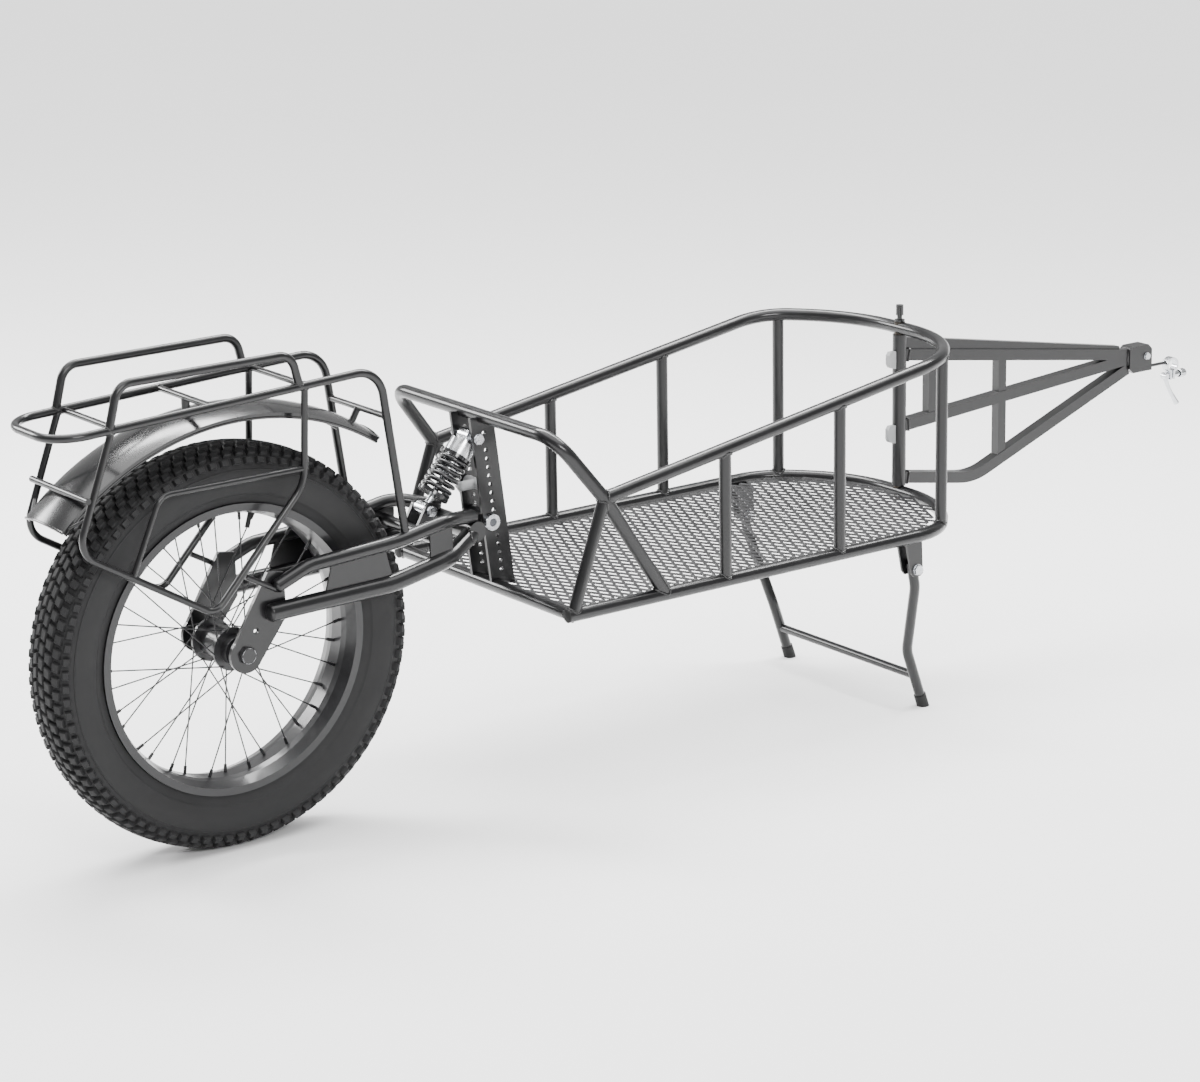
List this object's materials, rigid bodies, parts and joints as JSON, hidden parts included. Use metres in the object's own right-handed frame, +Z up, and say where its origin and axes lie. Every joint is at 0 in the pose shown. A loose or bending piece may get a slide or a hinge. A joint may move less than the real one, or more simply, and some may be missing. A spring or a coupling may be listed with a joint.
{
  "type": "bicycle cargo trailer",
  "caption": "Single-wheel bicycle cargo trailer with a fat tyre, sprung swingarm, tube basket, rear rack, folding kickstand and hinged drawbar.",
  "frame": {"origin": "on the ground, straight below the wheel axle, in the trailer's mid plane", "axes": "+X forward to the hitch, +Y to the trailer's left, +Z up"},
  "size_m": [2.1595, 0.452, 0.7099],
  "materials": {
    "frame_black": "gloss",
    "fender_gloss": "gloss",
    "floor_black": "satin",
    "tyre_rubber": "matte",
    "black_rubber": "matte",
    "rim_black": "satin",
    "spoke_black": "satin",
    "zinc_steel": "satin",
    "bearing_steel": "satin",
    "bronze": "satin",
    "shock_silver": "polished",
    "spring_black": "gloss",
    "tab_grey": "satin",
    "clamp_silver": "polished",
    "rod_black": "satin",
    "pin_black": "gloss"
  },
  "bodies": {
    "frame": {"bottom_rail": "frame_black", "rear_hoop": "frame_black", "top_rail": "frame_black", "rear_cross_tube": "frame_black", "basket_uprights": "frame_black", "suspension_plates": "frame_black", "floor_mesh": "floor_black", "kickstand_brackets": "frame_black", "kickstand_bolts": "zinc_steel", "pivot_bolt": "zinc_steel", "shock_top_bolt": "zinc_steel", "hinge_bushes": "bronze", "bump_stop": "tab_grey"},
    "swingarm": {"dropouts": "frame_black", "pivot_barrel": "frame_black", "pivot_bushes": "bronze", "swingarm_lower_tubes": "frame_black", "swingarm_upper_tubes": "frame_black", "swingarm_gussets": "frame_black", "swingarm_cross_tubes": "frame_black", "shock_foot_pin": "zinc_steel", "axle": "zinc_steel", "rack_loop": "frame_black", "guard_rails": "frame_black", "pannier_hoops": "frame_black", "rack_bars": "frame_black", "fender": "fender_gloss", "fender_mounts": "frame_black"},
    "wheel": {"tyre": "tyre_rubber", "rim": "rim_black", "inner_tube": "black_rubber", "valve_stem": "black_rubber", "hub_shell": "rim_black", "hub_bearings": "bearing_steel", "spokes": "spoke_black", "spoke_nipples": "spoke_black"},
    "shock_upper": {"shock_body": "shock_silver", "shock_collar": "spring_black", "shock_spring": "spring_black"},
    "shock_lower": {"shock_shaft": "shock_silver", "shock_lower_seat": "spring_black"},
    "kickstand": {"kickstand_legs": "frame_black", "kickstand_feet": "black_rubber", "kickstand_cross_tube": "frame_black"},
    "drawbar": {"drawbar_post": "frame_black", "drawbar_top_tube": "frame_black", "drawbar_lower_tube": "frame_black", "drawbar_middle_tube": "frame_black", "drawbar_struts": "frame_black", "drawbar_web": "frame_black", "nose_block": "frame_black", "post_tabs": "tab_grey", "nose_bolt": "zinc_steel"},
    "hinge_pin": {"hinge_pin": "pin_black"},
    "hitch": {"hitch_tongue": "zinc_steel", "hitch_rod": "rod_black", "clamp_ring": "clamp_silver", "clamp_skewer": "clamp_silver"},
    "clamp_lever": {"clamp_lever": "clamp_silver"}
  },
  "joints": [
    {"name": "swingarm_pivot", "type": "hinge", "parent": "frame", "child": "swingarm", "pos_m": [0.442, 0, 0.394], "axis": [0, 1, 0], "range_deg": [0, 8], "stiffness_Nm_per_rad": 1600, "springref_deg": -4.58},
    {"name": "wheel_spin", "type": "hinge", "parent": "swingarm", "child": "wheel", "pos_m": [0, 0, 0.29], "axis": [0, 1, 0], "continuous": true},
    {"name": "shock_tilt", "type": "hinge", "parent": "frame", "child": "shock_upper", "pos_m": [0.424, 0, 0.52], "axis": [0, 1, 0], "range_deg": [-1, 4]},
    {"name": "shock_stroke", "type": "slide", "parent": "shock_upper", "child": "shock_lower", "axis": [0.6394, 0, 0.7689], "range_m": [-0.001, 0.016], "deforming": ["shock_spring"]},
    {"name": "kickstand_fold", "type": "hinge", "parent": "frame", "child": "kickstand", "pos_m": [1.095, 0, 0.243], "axis": [0, 1, 0], "range_deg": [0, 100]},
    {"name": "drawbar_yaw", "type": "hinge", "parent": "frame", "child": "drawbar", "pos_m": [1.244, 0, 0.428], "axis": [0, 0, 1], "range_deg": [-60, 60]},
    {"name": "hinge_pin_lift", "type": "slide", "parent": "frame", "child": "hinge_pin", "axis": [0, 0, 1], "range_m": [0, 0.3]},
    {"name": "hitch_pitch", "type": "hinge", "parent": "drawbar", "child": "hitch", "pos_m": [1.77, 0, 0.438], "axis": [0, 1, 0], "range_deg": [-20, 35]},
    {"name": "clamp_lever_flip", "type": "hinge", "parent": "hitch", "child": "clamp_lever", "pos_m": [1.8262, 0, 0.393], "axis": [0, 1, 0], "range_deg": [0, 100]}
  ],
  "couplings": [
    {"joint": "shock_tilt", "follows": "swingarm_pivot", "ratio": 0.29},
    {"joint": "shock_stroke", "follows": "swingarm_pivot", "m_per_rad": 0.09575}
  ]
}
